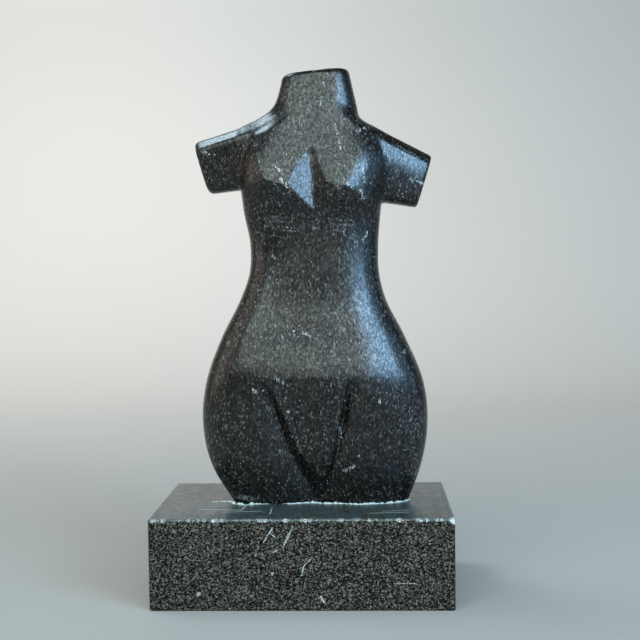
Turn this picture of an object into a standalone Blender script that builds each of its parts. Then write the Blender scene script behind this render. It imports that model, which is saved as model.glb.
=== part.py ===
"""A carved stone torso of a woman, without head, forearms or legs, set on a sawn stone plinth.

Sizes below are in millimetres and the solids are in metres, +Z up. The figure faces -Y.
The origin is the centre of the plinth's underside.
Run it with: blender --background --python part.py
"""

import math

import bmesh
import bpy
import numpy as np
from mathutils import Vector

MM = 0.001

# The plinth, a sawn block with eased arrises.
PLINTH_WIDTH = 127.0
PLINTH_DEPTH = 76.0
PLINTH_HEIGHT = 38.5
PLINTH_ARRIS = 1.0

# The figure, from its foot to the highest point of the neck's cut.
FIGURE_HEIGHT = 190.0
FIGURE_OFFSET = 5.0
GLUE_GAP = 0.3

# Every proportion below is in 190ths of the figure's height, which are millimetres at its real size.
UNIT = FIGURE_HEIGHT * MM / 190

# Landmark, height, half width, lean to +X, depth to the front and to the back of the axis, squareness.
LANDMARKS = (
    ("foot", 0, 38.9, 2.0, 11.0, 12.0, 2.8),
    ("thigh", 15, 46.1, 0.4, 16.5, 17.5, 2.6),
    ("hip", 35, 49.8, -0.1, 20.3, 21.5, 2.5),
    ("belly", 52, 48.2, -0.1, 22.0, 21.0, 2.5),
    ("loin", 73, 40.2, -0.5, 20.0, 17.0, 2.5),
    ("flank", 90, 31.7, -0.3, 17.6, 14.8, 2.5),
    ("waist", 101, 28.5, 0.4, 16.8, 14.2, 2.5),
    ("midriff", 112, 28.1, 0.6, 16.2, 14.0, 2.5),
    ("ribs", 130, 30.3, -0.1, 16.0, 15.4, 2.8),
    ("chest", 150, 31.6, 1.0, 15.4, 16.4, 3.4),
    ("shoulder", 158, 30.0, 0.8, 14.7, 15.4, 3.2),
    ("collar", 163, 25.4, 0.7, 14.1, 14.6, 2.8),
    ("nape", 167, 21.0, 1.0, 13.7, 13.9, 2.6),
    ("throat", 172.5, 18.3, 1.8, 13.0, 13.2, 2.5),
    ("neck", 180.5, 16.0, 2.3, 12.0, 12.5, 2.5),
    ("neck end", 192, 13.7, 2.2, 10.4, 12.2, 2.5),
)

# The saw cut that ends the neck rises to +X.
NECK_CUT_MIDDLE = (2.4, 187.9)
NECK_CUT_SLOPE = 0.09
NECK_EASE = 1.6

# Arm stubs in the front view: upper and lower (x, z) points from the root to the cut end.
# Each arm's front face bulges, and its foremost point lies apex below its upper edge.
ARMS = (
    {
        "name": "arm_right",
        "upper": ((-16.0, 171.0), (-27.7, 164.8), (-40.0, 161.8), (-52.5, 158.7)),
        "lower": ((-16.0, 139.2), (-26.0, 138.2), (-36.0, 137.2), (-46.2, 136.1)),
        "ease": 2.2,
        "apex": 2.0,
        "belly": 130.0,
    },
    {
        "name": "arm_left",
        "upper": ((16.0, 168.4), (32.0, 160.7), (42.0, 155.9), (52.6, 150.8)),
        "lower": ((16.0, 133.6), (29.5, 131.5), (37.5, 130.2), (45.8, 128.9)),
        "ease": 1.2,
        "apex": 10.5,
        "belly": 90.0,
    },
)
ARM_FRONT = 8.8
ARM_BACK = 9.5
ARM_ROOT = 32.0
ARM_TAPER = 0.36
ARM_CORNER = 3.5
ARM_CHAMFER = 4.0

# Breasts, each a wedge: the height and place of its apex, the slopes of its inner and outer sides in mm
# for each mm, how softly the inner side starts, and where the outer side starts.
BREASTS = (
    {"apex": 138.2, "apex_x": -11.3, "inner": 0.42, "ease": 0.6, "flat": -18.5, "outer": 0.33},
    {"apex": 137.0, "apex_x": 14.2, "inner": 0.62, "ease": 2.2, "flat": 15.8, "outer": 0.36},
)
BREAST_CURL = 0.04
BREAST_TOP = 162.0
BREAST_BOTTOM = 124.5
BREAST_RISE = 6.2
BREAST_EASE = 0.6
BREAST_SPLAY = 0.25

# The floor of the V between the breasts: height, x, and how far it stands proud of the chest.
CLEAVAGE = (
    (124.5, 1.4, 1.8),
    (126.5, 1.4, 1.7),
    (138.5, 1.0, 1.2),
    (145.0, 0.9, 0.9),
    (151.4, 0.8, 0.8),
    (155.7, 0.7, 1.6),
    (162.0, 0.7, 0.0),
)

# The ridge where the belly turns under: its height, how far it reaches up and down, how far it stands proud,
# and how far it reaches to each side. The tops of the cuts below follow its height.
BELLY_HEIGHT = 55.5
BELLY = {"reach": 14.0, "rise": 1.6, "half_width": 40.0}

# Two cuts part the thighs from the belly. They run from the foot up to the ridge where the belly turns under.
# The wall on the belly's side is the steeper.
# Valleys are given at three heights, from the foot up. Widths are given at the top and at the foot.
GROINS = (
    {"side": -1, "valley": (1.4, -11.2, -21.6), "thigh": (5.0, 20.0), "wall": (3.2, 5.6)},
    {"side": 1, "valley": (4.2, 9.9, 15.8), "thigh": (5.0, 12.0), "wall": (1.0, 1.8)},
)
GROIN_HEIGHTS = (0.0, 25.0, BELLY_HEIGHT)
GROIN_DEPTH = 5.2
GROIN_FLOOR = 3.6

# The back is plainer: a spine hollow, two shoulder blades and the seat with its cleft.
SPINE = {"middle": 112.0, "reach": 52.0, "half_width": 7.0, "depth": 1.6}
BLADES = {"side": 15.0, "height": 150.0, "radius": 15.0, "rise": 1.6}
SEAT = {"side": 20.0, "height": 33.0, "radius": 25.0, "rise": 4.0}

ROWS = 58
COLUMNS = 60
WELD = 0.2
SNAP = 0.08


def through(knots, values, at):
    """Smooth curve through the values at the knots, read at the given places."""
    knots = np.asarray(knots, float)
    values = np.asarray(values, float)
    slopes = np.gradient(values, knots)
    first = np.clip(np.searchsorted(knots, at, side="right") - 1, 0, len(knots) - 2)
    span = knots[first + 1] - knots[first]
    t = (at - knots[first]) / span
    start = (1 + 2 * t) * (1 - t) ** 2 * values[first] + t * (1 - t) ** 2 * span * slopes[first]
    end = t * t * (3 - 2 * t) * values[first + 1] + t * t * (t - 1) * span * slopes[first + 1]
    return start + end


def section_at(level):
    """Half width, lean, front, back and squareness of the figure at a height."""
    heights = [row[1] for row in LANDMARKS]
    return [through(heights, [row[column] for row in LANDMARKS], level) for column in range(2, 7)]


def bump(distance):
    """1 at no distance, falling smoothly to 0 at 1 and beyond."""
    return (1 - np.clip(distance, 0, 1) ** 2) ** 2


def soft_least(values, blend):
    """The least of the values, with the change from one to the next rounded."""
    least = values[0]
    for value in values[1:]:
        mix = np.clip(0.5 + 0.5 * (least - value) / blend, 0, 1)
        least = least + (value - least) * mix - blend * mix * (1 - mix)
    return least


def breast_rise(x, z):
    """How far the breasts stand proud of the chest."""
    heights = [row[0] for row in CLEAVAGE]
    bone = np.interp(z, heights, [row[1] for row in CLEAVAGE])
    bone_rise = np.interp(z, heights, [row[2] for row in CLEAVAGE])
    breast = BREASTS[0] if x < bone else BREASTS[1]
    side = math.copysign(1, breast["flat"])
    off = breast["apex_x"] - x
    apex = np.clip(breast["apex"] + BREAST_CURL * off * abs(off), BREAST_BOTTOM + 6, BREAST_TOP - 12)
    down = BREAST_RISE * (BREAST_TOP - z) / (BREAST_TOP - apex)
    up = BREAST_RISE * (z - BREAST_BOTTOM) / (apex - BREAST_BOTTOM)
    flat = breast["flat"] - side * BREAST_SPLAY * (z - breast["apex"])
    wedge = soft_least((down, up), BREAST_EASE)
    wedge = soft_least((wedge, BREAST_RISE + breast["outer"] * side * (flat - x)), 2 * BREAST_EASE)
    wedge = soft_least((wedge, bone_rise + breast["inner"] * side * (x - bone)), breast["ease"])
    return np.clip(-soft_least((-wedge, 0.0), 1.6), 0, BREAST_RISE)


def belly_rise(x, z):
    """The low ridge where the belly turns under."""
    share = 1 - abs(z - BELLY_HEIGHT) / BELLY["reach"]
    return BELLY["rise"] * bump(abs(x) / BELLY["half_width"]) * max(share, 0)


def groin_cut(x, z):
    """Depth of the cuts between the thighs. The stone between them falls back towards the foot."""
    share = np.clip(1 - z / GROIN_HEIGHTS[-1], 0, 1)
    full = GROIN_DEPTH * (1 - (1 - share) ** 9)
    floor = GROIN_FLOOR * share**2
    depths = []
    for groin in GROINS:
        inside = groin["side"] * (np.interp(z, GROIN_HEIGHTS, groin["valley"]) - x)
        thigh_width, wall_width = (a + (b - a) * share for a, b in (groin["thigh"], groin["wall"]))
        if inside < 0:
            return full * np.clip(1 + inside / thigh_width, 0, 1) ** 1.5
        depths.append(floor + (full - floor) * np.clip(1 - inside / wall_width, 0, 1))
    return max(depths)


def back_rise(x, z):
    """Relief of the back: the seat and the shoulder blades swell, and the spine is hollowed."""
    seat = sum(bump(np.hypot(x - side * SEAT["side"], z - SEAT["height"]) / SEAT["radius"]) for side in (-1, 1))
    blades = sum(bump(np.hypot(x - side * BLADES["side"], z - BLADES["height"]) / BLADES["radius"]) for side in (-1, 1))
    spine = bump(x / SPINE["half_width"]) * bump((z - SPINE["middle"]) / SPINE["reach"])
    return SEAT["rise"] * seat + BLADES["rise"] * blades - SPINE["depth"] * spine


def relief(x, y, z):
    """New depth of a point of the plain figure, after the carving of its front and back."""
    _, lean, front, back, _ = section_at(z)
    facing = math.sqrt(min(abs(y) / (front if y < 0 else back), 1))
    if y < 0:
        return y + facing * float(groin_cut(x, z) - breast_rise(x, z) - belly_rise(x, z))
    return y + facing * float(back_rise(x - lean, z))


def superellipse(squareness, count):
    """Points evenly spaced round |x|^n + |y|^n = 1, starting at the front's middle."""
    angle = np.linspace(0, 2 * math.pi, 721)
    power = 2 / squareness
    x = np.sign(np.sin(angle)) * np.abs(np.sin(angle)) ** power
    y = -np.sign(np.cos(angle)) * np.abs(np.cos(angle)) ** power
    travelled = np.concatenate([[0], np.cumsum(np.hypot(np.diff(x), np.diff(y)))])
    wanted = travelled[-1] * np.arange(count) / count
    return np.interp(wanted, travelled, x), np.interp(wanted, travelled, y)


def figure_ring(level):
    """The plain figure's outline at one height, as rows of x, y, z in proportion units."""
    half, lean, front, back, squareness = section_at(level)
    x, y = superellipse(squareness, COLUMNS)
    return np.column_stack([half * x + lean, np.where(y < 0, front, back) * y, np.full(COLUMNS, level)])


def row_heights():
    """Heights of the rings, evenly spaced along the figure's side."""
    level = np.linspace(LANDMARKS[0][1], LANDMARKS[-1][1], 600)
    half = section_at(level)[0]
    travelled = np.concatenate([[0], np.cumsum(np.hypot(np.diff(level), np.diff(half)))])
    return np.interp(np.linspace(0, travelled[-1], ROWS), travelled, level)


def score(bm, start, end):
    """Cuts the front's faces along a straight line of the front view, so that the mesh has edges there."""
    low, high = sorted((start[1], end[1]))
    left, right = sorted((start[0], end[0]))
    faces = []
    for face in bm.faces:
        middle = face.calc_center_median()
        if face.normal.y < -0.2 and low - 3 < middle.z < high + 3 and left - 4 < middle.x < right + 4:
            faces.append(face)
    edges = {edge for face in faces for edge in face.edges}
    verts = {vert for face in faces for vert in face.verts}
    along = Vector((end[0] - start[0], 0, end[1] - start[1]))
    bmesh.ops.bisect_plane(
        bm,
        geom=[*verts, *edges, *faces],
        plane_co=(start[0], 0, start[1]),
        plane_no=along.cross(Vector((0, 1, 0))),
        dist=SNAP,
    )


def carve(bm):
    """Scores the edges of the forms, then moves every point to its carved depth."""
    for groin in GROINS:
        thigh = [-width for width in groin["thigh"]]
        for offsets in ((0, 0), thigh, groin["wall"]):
            line = []
            for height, valley in zip(GROIN_HEIGHTS, groin["valley"]):
                offset = np.interp(height, (0, GROIN_HEIGHTS[-1]), (offsets[1], offsets[0]))
                line.append((valley - groin["side"] * offset, height))
            for start, end in zip(line, line[1:]):
                score(bm, start, end)
    for low, high in zip(CLEAVAGE[1:-1], CLEAVAGE[2:-1]):
        score(bm, (low[1], low[0]), (high[1], high[0]))
    for breast in BREASTS:
        side = math.copysign(1, breast["flat"])
        edges = []
        for height, bone, bone_rise in CLEAVAGE[1:-1]:
            slope = (BREAST_TOP - height) / (BREAST_TOP - breast["apex"])
            slope = min(slope, (height - BREAST_BOTTOM) / (breast["apex"] - BREAST_BOTTOM))
            edges.append((bone + side * max(BREAST_RISE * slope - bone_rise, 0) / breast["inner"], height))
        for lower, upper in zip(edges, edges[1:]):
            score(bm, lower, upper)
        corner = (breast["flat"], breast["apex"] - 2 * side)
        score(bm, edges[1], corner)
        for height in (130.0, 155.0):
            slope = (BREAST_TOP - height) / (BREAST_TOP - breast["apex"])
            slope = min(slope, (height - BREAST_BOTTOM) / (breast["apex"] - BREAST_BOTTOM))
            flat = breast["flat"] - side * BREAST_SPLAY * (height - breast["apex"])
            score(bm, corner, (flat + side * BREAST_RISE * (1 - slope) / breast["outer"], height))
    bmesh.ops.remove_doubles(bm, verts=bm.verts, dist=WELD)
    cut_faces = []
    for face in bm.faces:
        if face.normal.y < -0.2 and face.calc_center_median().z < GROIN_HEIGHTS[-1] + 6:
            cut_faces.append(face)
    bmesh.ops.triangulate(bm, faces=cut_faces, quad_method="BEAUTY", ngon_method="BEAUTY")
    for vert in bm.verts:
        vert.co.y = relief(*vert.co)


def loft(rings):
    """A closed mesh through rings of equal count, with a flat cap at each end."""
    bm = bmesh.new()
    rows = [[bm.verts.new(point) for point in ring] for ring in rings]
    count = len(rows[0])
    for lower, upper in zip(rows, rows[1:]):
        for i in range(count):
            j = (i + 1) % count
            bm.faces.new((lower[i], lower[j], upper[j], upper[i]))
    bm.faces.new(list(reversed(rows[0])))
    bm.faces.new(rows[-1])
    bmesh.ops.recalc_face_normals(bm, faces=bm.faces)
    return bm


def to_object(name, bm):
    """Links a new object that holds the mesh."""
    mesh = bpy.data.meshes.new(name)
    bm.to_mesh(mesh)
    bm.free()
    obj = bpy.data.objects.new(name, mesh)
    bpy.context.scene.collection.objects.link(obj)
    return obj


def stone(name, colour, roughness):
    """A plain stone material."""
    material = bpy.data.materials.new(name)
    material.use_nodes = True
    shader = material.node_tree.nodes["Principled BSDF"]
    shader.inputs["Base Color"].default_value = (*colour, 1)
    shader.inputs["Roughness"].default_value = roughness
    shader.inputs["Metallic"].default_value = 0
    return material


def trunk():
    """Neck, chest, belly and thighs as one loft, carved, then sawn off at the neck."""
    bm = loft([figure_ring(level) for level in row_heights()])
    carve(bm)
    cut = bmesh.ops.bisect_plane(
        bm,
        geom=bm.verts[:] + bm.edges[:] + bm.faces[:],
        plane_co=(NECK_CUT_MIDDLE[0], 0, NECK_CUT_MIDDLE[1]),
        plane_no=(-NECK_CUT_SLOPE, 0, 1),
        clear_outer=True,
        dist=0.01,
    )
    rim = [edge for edge in cut["geom_cut"] if isinstance(edge, bmesh.types.BMEdge)]
    bmesh.ops.contextual_create(bm, geom=rim)
    bmesh.ops.bevel(bm, geom=rim, offset=NECK_EASE, segments=2, profile=0.5, affect="EDGES", clamp_overlap=True)
    bmesh.ops.remove_doubles(bm, verts=bm.verts, dist=WELD)
    bmesh.ops.recalc_face_normals(bm, faces=bm.faces)
    bmesh.ops.scale(bm, vec=(UNIT, UNIT, UNIT), verts=bm.verts)
    return to_object("torso", bm)


def arm_section(arm, upper, lower):
    """A slab's outline between two points of the front view. Its front bulges, and its top front corner is chamfered."""
    upper, lower = Vector((upper[0], 0, upper[1])), Vector((lower[0], 0, lower[1]))
    height = (upper - lower).length
    down = (lower - upper) / height
    front = ARM_TAPER * max(abs(upper.x) - ARM_ROOT, 0) - ARM_FRONT

    def face(depth):
        return front + (depth - arm["apex"]) ** 2 / arm["belly"]

    low = height - ARM_CORNER
    corner = []
    for middle_y, middle_h, first in (
        (ARM_BACK - ARM_CORNER, ARM_CORNER, 0),
        (ARM_BACK - ARM_CORNER, low, 90),
        (ARM_CORNER + face(low), low, 180),
    ):
        for step in range(5):
            angle = math.radians(first - 90 + 22.5 * step)
            corner.append((middle_y + ARM_CORNER * math.cos(angle), middle_h + ARM_CORNER * math.sin(angle)))
    corner += [(face(depth), depth) for depth in (0.66 * low, 0.33 * low + 2, ARM_CHAMFER)]
    corner.append((ARM_CHAMFER + face(ARM_CHAMFER), 0.0))
    return [upper + down * h + Vector((0, y, 0)) for y, h in corner]


def arm_stub(arm):
    """An arm cut off above the elbow. Its cut end has eased corners."""
    rings = [[point * UNIT for point in arm_section(arm, *ends)] for ends in zip(arm["upper"], arm["lower"])]
    stub = to_object(arm["name"], loft(rings))
    stub.hide_render = True
    stub.display_type = "WIRE"
    ease = stub.modifiers.new("Eased end", "BEVEL")
    ease.width = arm["ease"] * UNIT
    ease.segments = 2
    ease.limit_method = "ANGLE"
    ease.angle_limit = math.radians(50)
    return stub


def make_torso():
    """The figure, carved from one stone."""
    torso = trunk()
    for arm in ARMS:
        stub = arm_stub(arm)
        stub.parent = torso
        join = torso.modifiers.new(f"Join {stub.name}", "BOOLEAN")
        join.operation = "UNION"
        join.object = stub
        join.solver = "EXACT"
    torso.location = (FIGURE_OFFSET * MM, 0, (PLINTH_HEIGHT + GLUE_GAP) * MM)
    torso.data.materials.append(stone("polished dark stone", (0.035, 0.04, 0.042), 0.35))
    torso.data.shade_smooth()
    torso.data.set_sharp_from_angle(angle=math.radians(24))
    return torso


def make_plinth():
    """The sawn block under the figure."""
    bm = bmesh.new()
    bmesh.ops.create_cube(bm, size=1)
    bmesh.ops.scale(bm, vec=Vector((PLINTH_WIDTH, PLINTH_DEPTH, PLINTH_HEIGHT)) * MM, verts=bm.verts)
    bmesh.ops.translate(bm, vec=(0, 0, PLINTH_HEIGHT * MM / 2), verts=bm.verts)
    plinth = to_object("plinth", bm)
    arris = plinth.modifiers.new("Eased arrises", "BEVEL")
    arris.width = PLINTH_ARRIS * MM
    arris.segments = 2
    plinth.data.materials.append(stone("honed speckled stone", (0.045, 0.047, 0.047), 0.55))
    return plinth


def clear_scene():
    """Removes what a new file holds."""
    for obj in list(bpy.data.objects):
        bpy.data.objects.remove(obj)


clear_scene()
make_plinth()
make_torso()
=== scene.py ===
"""Looks of a small carved stone torso that stands on a sawn stone plinth."""

import math

import bpy
import numpy as np
import openvdb
from mathutils import Matrix, Vector


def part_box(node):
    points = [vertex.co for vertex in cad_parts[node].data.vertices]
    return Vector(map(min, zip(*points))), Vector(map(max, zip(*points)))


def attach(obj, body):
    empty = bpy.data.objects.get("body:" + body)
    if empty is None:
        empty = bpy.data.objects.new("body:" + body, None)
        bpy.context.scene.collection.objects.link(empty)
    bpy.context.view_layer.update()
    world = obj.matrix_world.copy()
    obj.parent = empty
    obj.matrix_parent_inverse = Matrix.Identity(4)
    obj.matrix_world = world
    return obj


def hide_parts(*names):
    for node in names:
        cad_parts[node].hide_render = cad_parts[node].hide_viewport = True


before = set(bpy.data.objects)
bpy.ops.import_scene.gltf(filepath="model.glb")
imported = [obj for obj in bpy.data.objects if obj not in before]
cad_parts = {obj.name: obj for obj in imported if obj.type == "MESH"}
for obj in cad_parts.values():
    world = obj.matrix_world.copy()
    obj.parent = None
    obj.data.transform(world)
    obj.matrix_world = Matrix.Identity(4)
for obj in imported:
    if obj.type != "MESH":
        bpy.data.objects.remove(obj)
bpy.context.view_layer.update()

# The camera stands where the photograph was taken: level with the figure's waist, half a metre away,
# and a little to its left. Its lens shows 32 degrees, as a phone's 2x to 2.5x one does.
MM = 0.001
VIEW_FROM = Vector((25.8, -485.8, 143.5)) * MM
VIEW_TURN = math.radians(2.14)
VIEW_DOWN = math.radians(2.93)
VIEW_ROLL = math.radians(-0.73)

camera = bpy.data.objects.new("camera", bpy.data.cameras.new("camera"))
bpy.context.scene.collection.objects.link(camera)
camera.data.sensor_width = 36
camera.data.lens = 61.9
camera.data.clip_start = 0.01
aim = Matrix.Rotation(VIEW_TURN, 3, "Z") @ Matrix.Rotation(math.pi / 2 - VIEW_DOWN, 3, "X")
camera.rotation_euler = (aim @ Matrix.Rotation(VIEW_ROLL, 3, "Z")).to_euler()
camera.location = VIEW_FROM
bpy.context.scene.camera = camera
bpy.context.scene.view_settings.view_transform = "Standard"


# The studio: a pale paper sweep and soft lights. A wide one high up and a low one light the front.
# Two cool ones on the right stand for a window, and a weak warm one on the left for the room. A small one
# above gives the shoulder its bright edge, and a narrower one brightens the paper on the left.
PAPER = "#ADA7A1"
SWEEP_WIDTH = 5.0
SWEEP_FRONT = -2.2
SWEEP_BACK = 1.1
SWEEP_RADIUS = 0.5
SWEEP_HEIGHT = 2.6
WAIST = (0, 0, 0.13)

# Name, place and size in metres, watts, colour, where the light points, and its spread in degrees.
LIGHTS = (
    ("light_front", (-0.15, -1.3, 1.0), (3.2, 1.1), 35.0, "#ECFFFD", WAIST, 180),
    ("light_low", (0.0, -1.35, 0.35), (1.5, 0.54), 0.95, "#F6FFFC", WAIST, 180),
    ("light_window", (1.1, -1.0, 0.65), (0.82, 0.62), 21.0, "#A4D5FF", WAIST, 180),
    ("light_side", (1.6, -0.4, 0.5), (1.2, 0.8), 3.7, "#A4D5FF", WAIST, 180),
    ("light_left", (-1.5, -0.15, 0.5), (1.0, 0.9), 3.4, "#F6EBDD", WAIST, 180),
    ("light_above", (-0.62, 0.25, 1.1), (0.42, 0.3), 4.6, "#D6F1FF", (-0.03, 0, 0.2), 180),
    ("light_wall", (-0.7, 0.3, 1.7), (0.6, 0.4), 5.8, "#FCFAF8", (-0.3, 1.1, 0.35), 70),
)
ROOM = "#8C8E8E"
ROOM_LEVEL = 0.4


def linear(colour):
    """An sRGB hex colour as linear red, green, blue and alpha."""
    parts = [int(colour[i : i + 2], 16) / 255 for i in (1, 3, 5)]
    return (*(part / 12.92 if part <= 0.04045 else ((part + 0.055) / 1.055) ** 2.4 for part in parts), 1.0)


def new_material(name):
    """A material, its node tree and its shader."""
    material = bpy.data.materials.new(name)
    material.use_nodes = True
    return material, material.node_tree, material.node_tree.nodes["Principled BSDF"]


def new_object(name, points, faces):
    """Links a mesh object with smooth faces. Points are in metres."""
    mesh = bpy.data.meshes.new(name)
    mesh.from_pydata([tuple(point) for point in points], [], [tuple(face) for face in faces])
    mesh.validate()
    mesh.shade_smooth()
    made = bpy.data.objects.new(name, mesh)
    bpy.context.scene.collection.objects.link(made)
    return made


bend = np.linspace(0, math.pi / 2, 13)
sweep_y = [SWEEP_FRONT, *(SWEEP_BACK - SWEEP_RADIUS + SWEEP_RADIUS * np.sin(bend)), SWEEP_BACK]
sweep_z = [0.0, *(SWEEP_RADIUS - SWEEP_RADIUS * np.cos(bend)), SWEEP_HEIGHT]
sweep_points = [(side * SWEEP_WIDTH / 2, y, z) for y, z in zip(sweep_y, sweep_z) for side in (-1, 1)]
sweep_faces = [(2 * i, 2 * i + 1, 2 * i + 3, 2 * i + 2) for i in range(len(sweep_y) - 1)]
sweep = new_object("paper_sweep", sweep_points, sweep_faces)
paper, tree, shader = new_material("matt studio paper")
shader.inputs["Base Color"].default_value = linear(PAPER)
shader.inputs["Roughness"].default_value = 0.9
sweep.data.materials.append(paper)

for name, place, size, watts, colour, target, spread in LIGHTS:
    lamp = bpy.data.lights.new(name, "AREA")
    lamp.shape = "RECTANGLE"
    lamp.size, lamp.size_y = size
    lamp.energy = watts
    lamp.spread = math.radians(spread)
    lamp.color = linear(colour)[:3]
    lit = bpy.data.objects.new(name, lamp)
    lit.location = place
    lit.rotation_euler = (Vector(target) - Vector(place)).to_track_quat("-Z", "Y").to_euler()
    lit.visible_camera = False
    bpy.context.scene.collection.objects.link(lit)

world = bpy.data.worlds.new("studio")
world.use_nodes = True
world.node_tree.nodes["Background"].inputs["Color"].default_value = linear(ROOM)
world.node_tree.nodes["Background"].inputs["Strength"].default_value = ROOM_LEVEL
bpy.context.scene.world = world


# The figure is one piece of dark, fine-grained stone, carved with chisels and rasps, then rubbed to a soft
# polish. Its neck and arms end in flat saw cuts. It is drawn as a distance field in millimetres from the
# middle of its foot, sampled on a grid and meshed.
AXIS_X = 5.0
FOOT_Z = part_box("torso")[0].z / MM

# The trunk: height, half width, lean to +X, depth to the front and to the back of the axis, squareness.
LEVELS = np.array(
    (
        (0, 38.9, 2.0, 11.0, 12.0, 2.8),
        (15, 46.1, 0.4, 16.5, 17.5, 2.6),
        (35, 49.8, -0.1, 20.3, 21.5, 2.5),
        (52, 48.2, -0.1, 22.0, 21.0, 2.5),
        (73, 40.2, -0.5, 20.0, 17.0, 2.5),
        (90, 31.7, -0.3, 17.6, 14.8, 2.5),
        (101, 28.5, 0.4, 16.8, 14.2, 2.5),
        (112, 28.1, 0.6, 16.2, 14.0, 2.5),
        (130, 30.3, -0.1, 16.0, 15.4, 2.8),
        (150, 31.3, 1.2, 15.4, 16.4, 3.4),
        (158, 26.5, 0.8, 14.7, 15.4, 3.4),
        (163, 22.4, 0.9, 14.1, 14.6, 2.8),
        (167, 20.2, 1.0, 13.7, 13.9, 2.6),
        (172.5, 18.3, 1.8, 13.0, 13.2, 2.7),
        (180.5, 16.0, 2.3, 12.0, 12.5, 3.0),
        (192, 13.7, 2.2, 10.4, 12.2, 3.0),
    )
)

# The saw cut that ends the neck rises to +X.
NECK_CUT = {"middle": (2.4, 187.9), "slope": 0.09, "ease": 2.6}

# Arm stubs in the front view: their top and bottom edges from the root out, how far the cut end is rounded,
# and how round the top edge is over the shoulder's front. The front face bulges in a wide curve, and its
# foremost line lies as far below the top edge as apex says.
ARMS = (
    {
        "top": ((-15.0, 172.0), (-27.7, 164.8), (-52.5, 158.7)),
        "bottom": ((-16.0, 139.2), (-46.2, 136.1)),
        "ease": 2.6,
        "shoulder": 1.6,
        "apex": 2.0,
        "belly": 130.0,
    },
    {
        "top": ((16.0, 168.4), (52.6, 150.8)),
        "bottom": ((16.0, 133.6), (45.8, 128.9)),
        "ease": 1.2,
        "shoulder": 5.2,
        "apex": 10.4,
        "belly": 78.0,
    },
)
ARM_FRONT = 8.8
ARM_BACK = 9.5
ARM_ROOT = 32.0
ARM_TAPER = 0.36
ARM_ROUND = 5.2
ARM_CHAMFER = 4.0
ARM_BLEND = 1.8
ARM_BEND = 2.0
CRISP = 0.8

# The yoke of the shoulders, between the neck and the arms.
YOKE = {"half_width": 31.0, "inset": 1.0, "square": 3.0, "bottom": 147.0, "bottom_ease": 2.0, "blend": 3.6}

# Breasts, each a wedge: the height and place of its apex, the slopes of its inner and outer sides in mm
# for each mm, how softly the inner side starts, and where the outer side starts.
BREASTS = (
    {"apex": 138.2, "apex_x": -11.3, "inner": 0.42, "ease": 0.6, "flat": -18.5, "outer": 0.33},
    {"apex": 137.0, "apex_x": 14.2, "inner": 0.62, "ease": 2.2, "flat": 15.8, "outer": 0.36},
)
BREAST_CURL = 0.04
BREAST_TOP = 162.0
BREAST_BOTTOM = 124.5
BREAST_RISE = 6.2
BREAST_EASE = 0.6
BREAST_SPLAY = 0.25
BREAST_FOOT = 1.6
APEX_CLEAR = (6.0, 12.0)

# The floor of the V between the breasts: heights, places to the side, and how far it stands proud.
CLEAVAGE_Z = (124.5, 126.5, 138.5, 145.0, 151.4, 155.7, 162.0)
CLEAVAGE_X = (1.4, 1.4, 1.0, 0.9, 0.8, 0.7, 0.7)
CLEAVAGE_RISE = (1.8, 1.7, 1.2, 0.9, 0.8, 1.6, 0.0)

# The ridge where the belly turns under. Its crest and foot are rounded.
BELLY = {"height": 55.5, "reach": 16.0, "rise": 1.6, "half_width": 40.0, "crest": 3.5, "foot": 0.5}

# The cuts that part the thighs from the belly: the line of each one's floor at three heights, and the widths
# of its slopes to the thigh and to the belly, at the top and at the foot.
GROINS = (
    {"side": -1, "valley": (1.4, -11.2, -21.6), "thigh": (5.0, 20.0), "wall": (3.2, 5.6)},
    {"side": 1, "valley": (4.2, 9.9, 15.8), "thigh": (5.0, 12.0), "wall": (1.0, 1.8)},
)
GROIN_Z = (0.0, 25.0, 55.5)
GROIN_DEPTH = 5.2
GROIN_FLOOR = 3.6
GROIN_ONSET = 9
THIGH_CURVE = 1.5

# The back: the hollow of the spine, the shoulder blades and the seat.
SPINE = {"middle": 112.0, "reach": 52.0, "half_width": 7.0, "depth": 1.6}
BLADES = {"side": 15.0, "height": 150.0, "radius": 15.0, "rise": 1.6}
SEAT = {"side": 20.0, "height": 33.0, "radius": 25.0, "rise": 4.0}

# The grid that the field is sampled on.
GRID_STEP = 0.75
GRID_LOW = (-56.0, -29.0, -3.0)
GRID_HIGH = (57.0, 31.0, 194.0)


def through(knots, values, at):
    """Smooth curve through the values at the knots, read at the given places."""
    slopes = np.gradient(values, knots)
    first = np.clip(np.searchsorted(knots, at, side="right") - 1, 0, len(knots) - 2)
    span = knots[first + 1] - knots[first]
    t = np.clip((at - knots[first]) / span, 0, 1)
    start = (1 + 2 * t) * (1 - t) ** 2 * values[first] + t * (1 - t) ** 2 * span * slopes[first]
    end = t * t * (3 - 2 * t) * values[first + 1] + t * t * (t - 1) * span * slopes[first + 1]
    return start + end


def swell(distance):
    """1 at no distance, falling smoothly to 0 at 1 and beyond."""
    return (1 - np.clip(distance, 0, 1) ** 2) ** 2


def soft_least(first, second, blend):
    """The lesser of two fields, with the change from one to the other rounded."""
    mix = np.clip(0.5 + 0.5 * (first - second) / blend, 0, 1)
    return first + (second - first) * mix - blend * mix * (1 - mix)


def soft_most(first, second, blend):
    """The greater of two fields, with the change from one to the other rounded."""
    return -soft_least(-first, -second, blend)


def edge_distance(x, z, start, end):
    """Distance in the front view from the line through two points. It is positive on the line's left."""
    along = np.subtract(end, start)
    along = along / np.hypot(*along)
    return (z - start[1]) * along[0] - (x - start[0]) * along[1]


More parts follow.
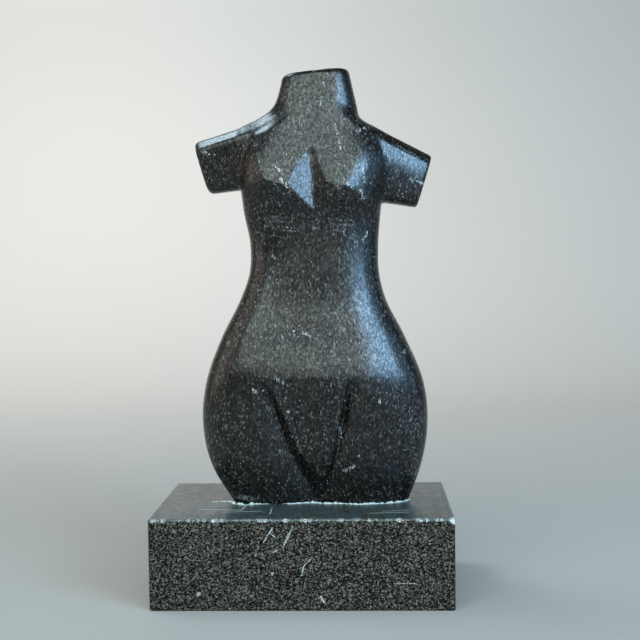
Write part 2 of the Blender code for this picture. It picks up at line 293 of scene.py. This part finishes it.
def rounded_column(across, y, half, deep, square):
    """Field of a column of stone with rounded corners. Its slope is divided out, so that it measures true
    millimetres near the surface."""
    ratio = (np.abs(across / half) ** square + np.abs(y / deep) ** square) ** (1 / square)
    column = np.hypot(across, y) * (1 - 1 / np.maximum(ratio, 0.05))
    slope = np.sqrt(sum(part**2 for part in np.gradient(column, GRID_STEP)))
    return column / np.maximum(slope, 0.4)


def arm_top(arm, x, z):
    """The side that an arm stub is on, and the field that ends at its top edge."""
    side = math.copysign(1, arm["top"][-1][0])
    over = side * edge_distance(x, z, *arm["top"][-2:])
    return side, soft_least(over, side * edge_distance(x, z, *arm["top"][:2]), ARM_BEND)


low, high = np.array(GRID_LOW), np.array(GRID_HIGH)
counts = ((high - low) / GRID_STEP).astype(int) + 1
steps = [low[i] + GRID_STEP * np.arange(counts[i]) for i in range(3)]
x, y, z = np.meshgrid(*steps, indexing="ij", sparse=True)
half, lean, front, back, square = (through(LEVELS[:, 0], LEVELS[:, column], z) for column in range(1, 6))

# Breasts, each a wedge that swells down to its apex. The V between them starts below the collar bones.
bone = np.interp(z, CLEAVAGE_Z, CLEAVAGE_X)
bone_rise = np.interp(z, CLEAVAGE_Z, CLEAVAGE_RISE)
wedges = []
for breast in BREASTS:
    side = math.copysign(1, breast["flat"])
    off = breast["apex_x"] - x
    apex = breast["apex"] + BREAST_CURL * off * np.abs(off)
    apex = np.clip(apex, BREAST_BOTTOM + APEX_CLEAR[0], BREAST_TOP - APEX_CLEAR[1])
    down = BREAST_RISE * (BREAST_TOP - z) / (BREAST_TOP - apex)
    up = BREAST_RISE * (z - BREAST_BOTTOM) / (apex - BREAST_BOTTOM)
    wedge = soft_least(down, up, BREAST_EASE)
    flat = breast["flat"] - side * BREAST_SPLAY * (z - breast["apex"])
    wedge = soft_least(wedge, BREAST_RISE + breast["outer"] * side * (flat - x), 2 * BREAST_EASE)
    wedge = soft_least(wedge, bone_rise + breast["inner"] * side * (x - bone), breast["ease"])
    wedges.append(np.clip(soft_most(wedge, 0 * wedge, BREAST_FOOT), 0, BREAST_RISE))
ridge = soft_most(z - BELLY["height"], BELLY["height"] - z, BELLY["crest"])
ridge = soft_most(1 - ridge / BELLY["reach"], 0 * z, BELLY["foot"])
rise = np.where(x < bone, *wedges) + BELLY["rise"] * swell(np.abs(x) / BELLY["half_width"]) * ridge

# The two cuts that part the thighs from the belly. The wall on the belly's side is the steeper.
share = np.clip(1 - z / GROIN_Z[-1], 0, 1)
full = GROIN_DEPTH * (1 - (1 - share) ** GROIN_ONSET)
inner_floor = GROIN_FLOOR * share**2
cuts, valleys = [], []
for groin in GROINS:
    valley = np.interp(z, GROIN_Z, groin["valley"])
    inside = groin["side"] * (valley - x)
    thigh_width, wall_width = (a + (b - a) * share for a, b in (groin["thigh"], groin["wall"]))
    thigh = full * np.clip(1 + inside / thigh_width, 0, 1) ** THIGH_CURVE
    wall = inner_floor + (full - inner_floor) * np.clip(1 - inside / wall_width, 0, 1)
    cuts.append(np.where(inside < 0, thigh, wall))
    valleys.append(valley)
cut = np.where(x < valleys[0], cuts[0], np.where(x > valleys[1], cuts[1], np.maximum(*cuts)))

across = x - lean
hollow = swell(np.abs(across) / SPINE["half_width"]) * swell(np.abs(z - SPINE["middle"]) / SPINE["reach"])
back_rise = -SPINE["depth"] * hollow
for form in (SEAT, BLADES):
    for side in (-1, 1):
        away = np.hypot(across - side * form["side"], z - form["height"]) / form["radius"]
        back_rise = back_rise + form["rise"] * swell(away)

deep = np.where(y < 0, front, back)
facing = np.sqrt(np.clip(np.abs(y) / deep, 0, 1))
plain_y = y - facing * np.where(y < 0, cut - rise, back_rise)
field = rounded_column(across, plain_y, half, deep, square)

# The yoke shares the arms' top edges. The flat chamfer of the arm on the picture's left runs on over it.
yoke = rounded_column(across, y, YOKE["half_width"], deep - YOKE["inset"], YOKE["square"])
yoke = soft_most(yoke, YOKE["bottom"] - z, YOKE["bottom_ease"])
for arm in ARMS:
    side, over = arm_top(arm, x, z)
    yoke = soft_most(yoke, over, np.where(y < 0, arm["shoulder"], ARM_ROUND))
    if arm is ARMS[0]:
        yoke = soft_most(yoke, (over - ARM_FRONT - y + ARM_CHAMFER) / math.sqrt(2), CRISP)
field = soft_least(field, yoke, YOKE["blend"])

for arm in ARMS:
    side, over = arm_top(arm, x, z)
    under = -side * edge_distance(x, z, *arm["bottom"])
    end = side * edge_distance(x, z, arm["top"][-1], arm["bottom"][-1])
    front_y = ARM_TAPER * np.maximum(np.abs(x) - ARM_ROOT, 0) - ARM_FRONT
    ahead = front_y - y + (over + arm["apex"]) ** 2 / arm["belly"]
    behind = y - ARM_BACK
    upper = soft_most(over, behind, ARM_ROUND)
    lower = soft_most(soft_most(ahead, under, ARM_ROUND), behind, ARM_ROUND)
    stub = soft_most(upper, lower, CRISP)
    stub = soft_most(stub, (over + front_y - y + ARM_CHAMFER) / math.sqrt(2), CRISP)
    stub = soft_most(stub, end, arm["ease"])
    field = soft_least(field, np.maximum(stub, -side * x), ARM_BLEND)

neck_rise = z - NECK_CUT["middle"][1] - NECK_CUT["slope"] * (x - NECK_CUT["middle"][0])
field = soft_most(field, neck_rise / math.hypot(1, NECK_CUT["slope"]), NECK_CUT["ease"])
field = np.maximum(field, -z)

grid = openvdb.FloatGrid(background=3.0)
grid.copyFromArray(np.clip(field, -3, 3).astype(np.float32))
points, quads = grid.convertToQuads(isovalue=0.0)
points = (np.asarray(points, float) * GRID_STEP + low + (AXIS_X, 0, FOOT_Z)) * MM
torso = new_object("carved_torso", points, np.asarray(quads))
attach(torso, "root")
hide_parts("torso")

# Dark, fine-grained stone, such as a serpentine, rubbed with grit but not glazed: near black, with pale
# grains, a brown tint in patches, and dust in the long rasp marks that the polish left. Its real grains are
# about 0.3 mm, finer than the picture can show, and are drawn coarser.
STONE_DARK = "#020202"
STONE_PALE = "#CBCCC6"
STONE_IRON = "#B7A594"
STONE_SPECK_AND_HIGHLIGHT = "#D8DEDA"
STONE_ROUGH = (0.22, 0.34)
STONE_SHINE = (0.24, 0.76)
STONE_IOR = 1.55

# Sizes of the grains, rasp marks, dusty places and brown patches in mm, and how far the marks are drawn out.
GRAIN = 0.5
GRAIN_TALL = 0.5
PALE_FEW = 13.0
MARK_WIDTH = 0.7
MARK_STRETCH = 0.2
MARK_SHARE = 0.25
CLOUD = 20.0
CLOUD_DUST = (0.1, 0.28)
IRON_PATCH = 14.0
SHAKE = 0.7
SHAKE_REACH = 1.2

# Pale specks: their spacing in mm, their size as a share of it, and the share of places without one.
SPECKS = ((2.2, 0.08, 0.86), (6.0, 0.06, 0.7))

# Chips and rasp strokes on the front, and a painted highlight along the top edge of the arm on the picture's
# right:
# both ends in mm from the foot's middle, and half the width.
CHIPPED = (
    ((-15.5, 146.5), (-12.0, 143.5), 0.45),
    ((-12.5, 140.5), (-9.5, 137.0), 0.55),
    ((11.5, 137.0), (12.0, 136.0), 0.4),
    ((14.5, 139.0), (17.0, 137.0), 0.5),
    ((22.0, 146.0), (23.0, 139.0), 0.4),
    ((21.0, 135.5), (22.5, 132.5), 0.5),
    ((20.0, 161.0), (23.0, 162.0), 0.5),
    ((5.0, 176.0), (4.5, 172.0), 0.3),
    ((10.5, 164.0), (13.0, 153.0), 0.35),
    ((43.0, 141.0), (48.5, 139.0), 0.4),
    ((-16.5, 108.5), (-16.0, 107.5), 0.5),
    ((24.0, 118.0), (22.0, 114.0), 0.4),
    ((-48.0, 154.5), (-42.0, 152.5), 0.45),
    ((1.0, 187.5), (5.5, 188.0), 0.35),
    ((5.5, 181.5), (6.0, 181.0), 0.5),
    ((-12.5, 74.0), (-12.2, 73.7), 0.5),
    ((-4.0, 75.5), (-0.5, 74.0), 0.4),
    ((39.5, 67.0), (39.5, 66.0), 0.45),
    ((28.5, 46.5), (28.5, 45.5), 0.5),
    ((-15.5, 56.5), (-12.5, 54.5), 0.6),
    ((-25.5, 51.5), (-24.5, 50.5), 0.5),
    ((11.0, 34.5), (12.5, 28.0), 0.45),
    ((19.0, 23.0), (19.0, 22.0), 0.45),
    ((13.0, 15.5), (17.5, 17.5), 0.55),
    ((-10.5, 42.0), (-10.5, 41.5), 0.45),
)
RASPED_AND_HIGHLIGHT = (
    ((-18.0, 125.5), (-7.5, 124.0), 0.16),
    ((-18.0, 123.0), (-7.0, 122.5), 0.14),
    ((-17.5, 120.0), (-6.0, 118.5), 0.14),
    ((-17.0, 117.0), (-10.5, 115.5), 0.12),
    ((7.0, 124.0), (17.0, 123.0), 0.12),
    ((8.0, 121.5), (19.0, 121.0), 0.14),
    ((9.5, 119.0), (20.5, 116.5), 0.16),
    ((14.0, 117.0), (20.0, 113.5), 0.12),
    ((-6.0, 126.0), (-2.5, 125.5), 0.14),
    # These two pale lines are a painted highlight along the ridge where the arm's top edge meets its front.
    ((37.0, 155.5), (46.5, 150.5), 0.22),
    ((36.0, 154.0), (42.5, 150.5), 0.14),
    ((0.0, 123.0), (1.5, 119.5), 0.12),
    ((-33.0, 2.5), (-28.0, 2.0), 1.1),
)


def put(tree, kind, inputs, **settings):
    """Adds a shader node. Inputs are numbers, colours or the sockets that feed them."""
    made = tree.nodes.new("ShaderNode" + kind)
    for name, value in settings.items():
        setattr(made, name, value)
    for name, value in inputs.items():
        if isinstance(value, bpy.types.NodeSocket):
            tree.links.new(value, made.inputs[name])
        else:
            made.inputs[name].default_value = value
    return made


def times(tree, first, second):
    """The product of two values."""
    return put(tree, "Math", {0: first, 1: second}, operation="MULTIPLY").outputs[0]


def ramp(tree, value, start, end, low=0.0, high=1.0):
    """Goes evenly from low to high while the value goes from start to end, and stays there beyond."""
    ends = {"From Min": start, "From Max": end, "To Min": low, "To Max": high}
    return put(tree, "MapRange", {"Value": value, **ends}).outputs[0]


def mixed(tree, share, first, second):
    """The first colour, with a share of the second over it."""
    return put(tree, "Mix", {0: share, 6: first, 7: second}, data_type="RGBA").outputs[2]


def noise(tree, place, size, detail, roughness=0.5):
    """Smooth noise whose patches are about as many millimetres wide as the size says."""
    inputs = {"Vector": place, "Scale": 1 / (size * MM), "Detail": detail, "Roughness": roughness}
    return put(tree, "TexNoise", inputs).outputs


def scratches(tree, across, along, lines):
    """How much of a point lies on any of the lines, given in millimetres of two directions."""
    most = None
    for start, end, half_width in lines:
        run = (end[0] - start[0], end[1] - start[1], 0)
        flat = put(tree, "CombineXYZ", {"X": across, "Y": along}).outputs[0]
        off = put(tree, "VectorMath", {0: flat, 1: (*start, 0)}, operation="SUBTRACT").outputs[0]
        share = put(tree, "VectorMath", {0: off, 1: run}, operation="DOT_PRODUCT").outputs["Value"]
        share = ramp(tree, share, 0.0, run[0] ** 2 + run[1] ** 2)
        foot = put(tree, "VectorMath", {0: run, "Scale": share}, operation="SCALE").outputs[0]
        gap = put(tree, "VectorMath", {0: off, 1: foot}, operation="DISTANCE").outputs["Value"]
        here = ramp(tree, gap, 1.6 * half_width, 0.6 * half_width)
        most = here if most is None else put(tree, "Math", {0: most, 1: here}, operation="MAXIMUM").outputs[0]
    return most


stone, tree, shader = new_material("rubbed dark serpentine")
place = put(tree, "TexCoord", {}).outputs["Object"]
tall_place = put(tree, "VectorMath", {0: place, 1: (1, 1, GRAIN_TALL)}, operation="MULTIPLY").outputs[0]
long_place = put(
    tree, "VectorMath", {0: place, 1: (1, 1, MARK_STRETCH)}, operation="MULTIPLY"
).outputs[0]

# Each grain has its own tone, and few are pale. Dust lies in the rasp marks, more of it in some places.
cells = put(tree, "TexVoronoi", {"Vector": tall_place, "Scale": 1 / (GRAIN * MM)}).outputs["Color"]
cell = put(tree, "SeparateColor", {"Color": cells}).outputs["Red"]
grain = put(tree, "Math", {0: cell, 1: PALE_FEW}, operation="POWER").outputs[0]
marks = noise(tree, long_place, MARK_WIDTH, 3.0, 0.65)["Fac"]
mark = ramp(tree, marks, 0.55, 0.85)
cloud = noise(tree, place, CLOUD, 2.0)["Fac"]
cloud = ramp(tree, cloud, 0.35, 0.65, *CLOUD_DUST)
pale = put(tree, "Math", {0: mark, 1: MARK_SHARE, 2: grain}, operation="MULTIPLY_ADD").outputs[0]
pale = times(tree, pale, cloud)
iron = noise(tree, long_place, IRON_PATCH, 2.0)["Fac"]
iron = ramp(tree, iron, 0.45, 0.65)
pale_tone = mixed(tree, iron, linear(STONE_PALE), linear(STONE_IRON))
tone = mixed(tree, pale, linear(STONE_DARK), pale_tone)

for spacing, size, share in SPECKS:
    spots = put(tree, "TexVoronoi", {"Vector": place, "Scale": 1 / (spacing * MM)})
    spot = ramp(tree, spots.outputs["Distance"], size * 1.3, size * 0.7)
    lucky = put(tree, "SeparateColor", {"Color": spots.outputs["Color"]}).outputs["Green"]
    lucky = put(tree, "Math", {0: lucky, 1: share}, operation="GREATER_THAN").outputs[0]
    spot = times(tree, spot, lucky)
    tone = mixed(tree, spot, tone, linear(STONE_SPECK_AND_HIGHLIGHT))

# The chips and strokes break up along their length, as only some grains are bruised. The painted highlight
# lines among them break up the same way.
in_mm = put(
    tree, "VectorMath",
    {0: place, 1: (1000, 1000, 1000), 2: (-AXIS_X, 0, -FOOT_Z)},
    operation="MULTIPLY_ADD",
).outputs[0]
shake = noise(tree, place, SHAKE, 1.0)["Color"]
in_mm = put(
    tree, "VectorMath",
    {0: shake, 1: (2 * SHAKE_REACH, 0, 2 * SHAKE_REACH), 2: in_mm},
    operation="MULTIPLY_ADD",
).outputs[0]
in_mm = put(
    tree, "VectorMath", {0: in_mm, 1: (SHAKE_REACH, 0, SHAKE_REACH)}, operation="SUBTRACT"
).outputs[0]
axes = put(tree, "SeparateXYZ", {"Vector": in_mm}).outputs
front_side = put(tree, "Math", {0: axes["Y"], 1: 0.0}, operation="LESS_THAN").outputs[0]
# The painted highlight along the arm's ridge is drawn in the same pale colour as the chips and strokes.
for lines, cell_from, cell_to, strength in ((CHIPPED, 0.45, 0.85, 0.6), (RASPED_AND_HIGHLIGHT, 0.25, 0.8, 0.24)):
    loose = put(tree, "SeparateColor", {"Color": cells}).outputs["Blue"]
    loose = ramp(tree, loose, cell_from, cell_to, 0.0, strength)
    here = times(tree, scratches(tree, axes["X"], axes["Z"], lines), front_side)
    here = times(tree, here, loose)
    tone = mixed(tree, here, tone, linear(STONE_SPECK_AND_HIGHLIGHT))

rough = ramp(tree, marks, 0.3, 0.7, *STONE_ROUGH)
shine = ramp(tree, cell, 0.0, 1.0, *STONE_SHINE)
bump = put(tree, "Bump", {"Strength": 0.5, "Distance": 0.05 * MM, "Height": pale}).outputs[0]
tree.links.new(tone, shader.inputs["Base Color"])
tree.links.new(rough, shader.inputs["Roughness"])
tree.links.new(shine, shader.inputs["Specular IOR Level"])
tree.links.new(bump, shader.inputs["Normal"])
shader.inputs["IOR"].default_value = STONE_IOR
torso.data.materials.append(stone)


# The plinth is a block sawn from dark, fine-grained granite. Its top is polished and its sides are honed.
# Knocks have crumbled its top front edge, and a few white scratches and chips mark its front.
PLINTH_SIZE = (127.0, 76.0, 38.5)
PLINTH_EASE = 0.8

# The top front arris is cut into short stretches, each chipped to its own depth.
STATION = 0.4
CHIP_COUNT = 220
CHIP_DEPTH = 0.6
CHIP_ROUGH = 0.12
CHIP_EDGE = 0.3
CORNER_CHIP = {"x": 63.0, "reach": 2.6, "depth": 1.3}
WORN_LEAST = 0.44
WORN_DEEPER = 0.55

# Scratches: both ends in mm from the plinth's middle, across and up or across and back, and half the width.
FRONT_SCRATCHES = (
    ((-11.6, 34.8), (-15.3, 29.2), 0.2),
    ((-12.3, 32.5), (-10.3, 30.6), 0.15),
    ((-3.3, 35.2), (-5.4, 31.0), 0.16),
    ((-4.6, 32.6), (-7.0, 27.8), 0.3),
    ((-11.6, 24.7), (-9.6, 25.5), 0.22),
    ((4.0, 21.8), (1.1, 18.9), 0.15),
    ((1.1, 18.9), (0.2, 14.9), 0.2),
    ((39.0, 11.5), (47.2, 11.5), 0.12),
    ((-42.9, 7.1), (-42.5, 7.4), 0.55),
    ((-12.0, 15.6), (-11.9, 15.9), 0.4),
    ((8.0, 6.0), (9.4, 3.8), 0.4),
    ((-18.7, 23.6), (-18.6, 23.7), 0.3),
)
TOP_SCRATCHES = (
    ((-44.5, -18.6), (-26.5, -20.9), 0.35),
    ((-26.5, -20.9), (-25.2, -13.4), 0.3),
    ((-34.2, -24.5), (-17.3, -22.9), 0.25),
    ((-13.5, -17.3), (-13.4, -28.6), 0.2),
    ((28.6, -27.6), (44.6, -26.0), 0.35),
    ((34.2, -23.9), (45.2, -22.3), 0.25),
)


def knocked(at, start, places, sizes, heights):
    """The greatest of the chips or lumps along an edge. A bigger one also reaches further."""
    for place_at, size, height in zip(places, sizes, heights):
        start = np.maximum(start, height * swell(np.abs(at - place_at) / (0.4 + 1.1 * size)))
    return start


def skin(row_count, count):
    """Faces of a tube of equal rows of points, with a flat face at each end."""
    faces = []
    for row in range(row_count - 1):
        here, there = row * count, (row + 1) * count
        for i in range(count):
            j = (i + 1) % count
            faces.append((here + i, here + j, there + j, there + i))
    last = (row_count - 1) * count
    return faces + [tuple(range(count))[::-1], tuple(last + i for i in range(count))]


rng = np.random.default_rng(11)
half_x, half_y, top_z = PLINTH_SIZE[0] / 2, PLINTH_SIZE[1] / 2, PLINTH_SIZE[2]
near = PLINTH_EASE * (1 - np.cos(np.linspace(0, math.pi / 2, 5)))
even = np.arange(STATION * 3 - half_x, half_x - STATION * 3, STATION)
stations = np.concatenate([near - half_x, even, (half_x - near)[::-1]])
chip = CHIP_ROUGH * rng.random(len(stations))
places, sizes = rng.uniform(-half_x, half_x, CHIP_COUNT), rng.random(CHIP_COUNT)
chip = knocked(stations, chip, places, sizes, CHIP_DEPTH * sizes**3)
corner_chip = swell(np.abs(stations - CORNER_CHIP["x"]) / CORNER_CHIP["reach"])
chip = np.maximum(chip, CORNER_CHIP["depth"] * corner_chip)
turns = np.linspace(0, math.pi / 2, 6)
rows, worn = [], []
for station, dent in zip(stations, chip):
    from_end = max(PLINTH_EASE - (half_x - abs(station)), 0)
    inset = PLINTH_EASE - math.sqrt(max(PLINTH_EASE**2 - from_end**2, 0))
    outline = []
    for corner, (sign_y, sign_z) in enumerate(((-1, -1), (-1, 1), (1, 1), (1, -1))):
        top_front = corner == 1
        ease = PLINTH_EASE + dent if top_front else PLINTH_EASE
        if top_front:
            outline.append((station, inset - half_y, top_z - CHIP_EDGE - ease - inset))
            worn.append(0.0)
        for turn in turns:
            angle = math.pi * 1.5 - corner * math.pi / 2 - turn
            corner_y = sign_y * (half_y - inset - ease) + ease * math.cos(angle)
            corner_z = (top_z - inset - ease if sign_z > 0 else inset + ease) + ease * math.sin(angle)
            crumb = dent * rng.uniform(-0.25, 0.1) if top_front else 0
            outline.append((station, corner_y - crumb * sign_y, corner_z + crumb))
            worn.append(min(WORN_LEAST + WORN_DEEPER * dent, 1) if top_front else 0.0)
        if top_front:
            outline.append((station, inset - half_y + ease + CHIP_EDGE, top_z - inset))
            worn.append(0.0)
    rows.append(outline)
count = len(rows[0])
worn[:count] = worn[-count:] = [0.0] * count
faces = skin(len(rows), count)
plinth = new_object("granite_plinth", np.array(rows).reshape(-1, 3) * MM, faces)
plinth.data.attributes.new("worn", "FLOAT", "POINT").data.foreach_set("value", worn)
plinth.data.set_sharp_from_angle(angle=math.radians(50))
for end in plinth.data.polygons[-2:]:
    end.use_smooth = False
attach(plinth, "root")
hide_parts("plinth")

# Dark granite, honed on its sides and polished on top, where a haze of dust and wax dulls it in patches and a
# bluish painted sheen lightens its colour. Its real grains are about 0.3 mm, finer than the picture can show,
# and are drawn coarser.
GRANITE_DARK = "#020202"
GRANITE_GREY = "#1A1613"
GRANITE_PALE = "#7A7468"
TOP_PAINTED_SHEEN = "#3A4B4D"
SCRATCH_WHITE = "#D5D8D3"
SCRATCH_SHARE = 0.8
SIDE_ROUGH = 0.5
TOP_ROUGH = (0.28, 0.44)
SIDE_SHINE = (0.06, 0.28)
TOP_SHINE = 0.66
GRANITE_IOR = 1.54

# Sizes of the grains, their groups, the patches of haze and painted sheen, and the crumbs of broken stone in
# mm. A mark is drawn this deep.
GRANITE_GRAIN = 0.45
FINE = 0.8
HAZE_AND_SHEEN_PATCH = 5.0
CRUMB = 0.4
MARKED_SKIN = 0.7

granite, tree, shader = new_material("honed and polished granite")
place = put(tree, "TexCoord", {}).outputs["Object"]
crumbs = noise(tree, place, CRUMB, 2.0)
shake = put(
    tree, "VectorMath", {0: crumbs["Color"], 1: (0.5, 0.5, 0.5)}, operation="SUBTRACT"
).outputs[0]
in_mm = put(tree, "VectorMath", {0: place, "Scale": 1000.0}, operation="SCALE").outputs[0]
in_mm = put(tree, "VectorMath", {0: in_mm, 1: shake}, operation="ADD").outputs[0]
axes = put(tree, "SeparateXYZ", {"Vector": in_mm}).outputs
cells = put(tree, "TexVoronoi", {"Vector": place, "Scale": 1 / (GRANITE_GRAIN * MM)}).outputs["Color"]
grain = put(tree, "SeparateColor", {"Color": cells}).outputs["Red"]
fine = noise(tree, place, FINE, 1.0)["Fac"]
grain = put(tree, "Math", {0: grain, 1: 0.8, 2: fine}, operation="MULTIPLY_ADD").outputs[0]
mid = ramp(tree, grain, 0.62, 0.82)
high = ramp(tree, grain, 1.0, 1.35)
tone = mixed(tree, mid, linear(GRANITE_DARK), linear(GRANITE_GREY))
tone = mixed(tree, high, tone, linear(GRANITE_PALE))

# The haze and the painted sheen lie on the top alone, and the white marks on the top, the front and the worn
# arris.
is_top = put(
    tree, "Math", {0: axes["Z"], 1: PLINTH_SIZE[2] - MARKED_SKIN}, operation="GREATER_THAN"
).outputs[0]
is_front = put(
    tree, "Math", {0: axes["Y"], 1: MARKED_SKIN - PLINTH_SIZE[1] / 2}, operation="LESS_THAN"
).outputs[0]
broken = ramp(tree, crumbs["Fac"], 0.4, 0.52)
is_front = times(tree, is_front, broken)
haze_and_sheen = noise(tree, place, HAZE_AND_SHEEN_PATCH, 6.0, 0.7)["Fac"]
haze_and_sheen = ramp(tree, haze_and_sheen, 0.35, 0.65)
# Painted sheen: a bluish tint lightens the top's colour in patches.
painted_sheen = times(tree, haze_and_sheen, is_top)
tone = mixed(tree, painted_sheen, tone, linear(TOP_PAINTED_SHEEN))
on_front = times(tree, scratches(tree, axes["X"], axes["Z"], FRONT_SCRATCHES), is_front)
on_top = times(tree, scratches(tree, axes["X"], axes["Y"], TOP_SCRATCHES), is_top)
on_top = times(tree, on_top, SCRATCH_SHARE)
marks = put(tree, "Math", {0: on_front, 1: on_top}, operation="MAXIMUM").outputs[0]
worn = put(tree, "Attribute", {}, attribute_name="worn").outputs["Fac"]
worn = times(tree, worn, crumbs["Fac"])
worn = ramp(tree, worn, 0.26, 0.42)
marks = put(tree, "Math", {0: marks, 1: worn}, operation="MAXIMUM").outputs[0]
marks = times(tree, marks, SCRATCH_SHARE)
tone = mixed(tree, marks, tone, linear(SCRATCH_WHITE))

smear = ramp(tree, haze_and_sheen, 0.0, 1.0, *TOP_ROUGH)
rough = put(tree, "Mix", {0: is_top, 2: SIDE_ROUGH, 3: smear}, data_type="FLOAT").outputs[0]
shine = ramp(tree, mid, 0.0, 1.0, *SIDE_SHINE)
shine = put(tree, "Mix", {0: is_top, 2: shine, 3: TOP_SHINE}, data_type="FLOAT").outputs[0]
bump = put(tree, "Bump", {"Strength": 0.4, "Distance": 0.04 * MM, "Height": grain}).outputs[0]
tree.links.new(tone, shader.inputs["Base Color"])
tree.links.new(rough, shader.inputs["Roughness"])
tree.links.new(shine, shader.inputs["Specular IOR Level"])
tree.links.new(bump, shader.inputs["Normal"])
shader.inputs["IOR"].default_value = GRANITE_IOR
plinth.data.materials.append(granite)


# Glue holds the figure on the plinth. It has squeezed out along the front of the foot and dried to a ragged
# white bead, which is smeared thin at the picture's left end.
BEAD_PATH = (
    (-40.9, -4.9), (-38.8, -2.8), (-33.5, -4.0), (-30.7, -8.4), (-25.7, -11.2), (-21.3, -9.2),
    (-10.8, -8.0), (-5.6, -9.2), (-0.2, -7.4), (5.1, -7.4), (9.8, -9.4), (17.5, -9.0), (23.9, -11.0),
    (31.0, -9.8), (39.2, -8.0), (42.8, -5.8), (45.6, -2.7), (46.2, -1.2),
)
BEAD_STEP = 0.25
BEAD_SMEAR = 6.0
BEAD_WIDTH = 0.7
BEAD_HEIGHT = 1.1
BEAD_SUNK = 0.05
BEAD_JUT = 0.04
LUMP_COUNT = 260
GLUE_WHITE = "#B9C1BE"

path = np.array(BEAD_PATH)
run = np.concatenate([[0], np.cumsum(np.hypot(*np.diff(path, axis=0).T))])
at = np.arange(0, run[-1], BEAD_STEP)
middle = np.column_stack([np.interp(at, run, path[:, 0]), np.interp(at, run, path[:, 1])])
ahead = np.gradient(middle, axis=0)
ahead = ahead / np.hypot(*ahead.T)[:, None]
side = np.column_stack([ahead[:, 1], -ahead[:, 0]])
places, sizes = rng.uniform(0, run[-1], LUMP_COUNT), rng.random(LUMP_COUNT)
lump = knocked(at, np.zeros(len(at)), places, sizes, 0.3 + 0.7 * sizes**3)
lump = lump * np.clip((at - BEAD_SMEAR) / 4, 0.2, 1)
ring = np.linspace(0, math.pi, 6)
points = []
for (mid_x, mid_y), (side_x, side_y), size in zip(middle, side, lump):
    for angle in ring:
        out = BEAD_WIDTH * (0.5 + size) * math.cos(angle)
        jut = rng.uniform(-BEAD_JUT, BEAD_JUT)
        bead_z = top_z - BEAD_SUNK + (0.08 + BEAD_HEIGHT * size) * math.sin(angle)
        points.append((mid_x + side_x * out, mid_y + side_y * out + jut, bead_z + jut))
faces = skin(len(middle), len(ring))
bead = new_object("glue_bead", np.array(points) * MM, faces)
glue, tree, shader = new_material("dried white glue")
shader.inputs["Base Color"].default_value = linear(GLUE_WHITE)
shader.inputs["Roughness"].default_value = 0.45
bead.data.materials.append(glue)
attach(bead, "root")
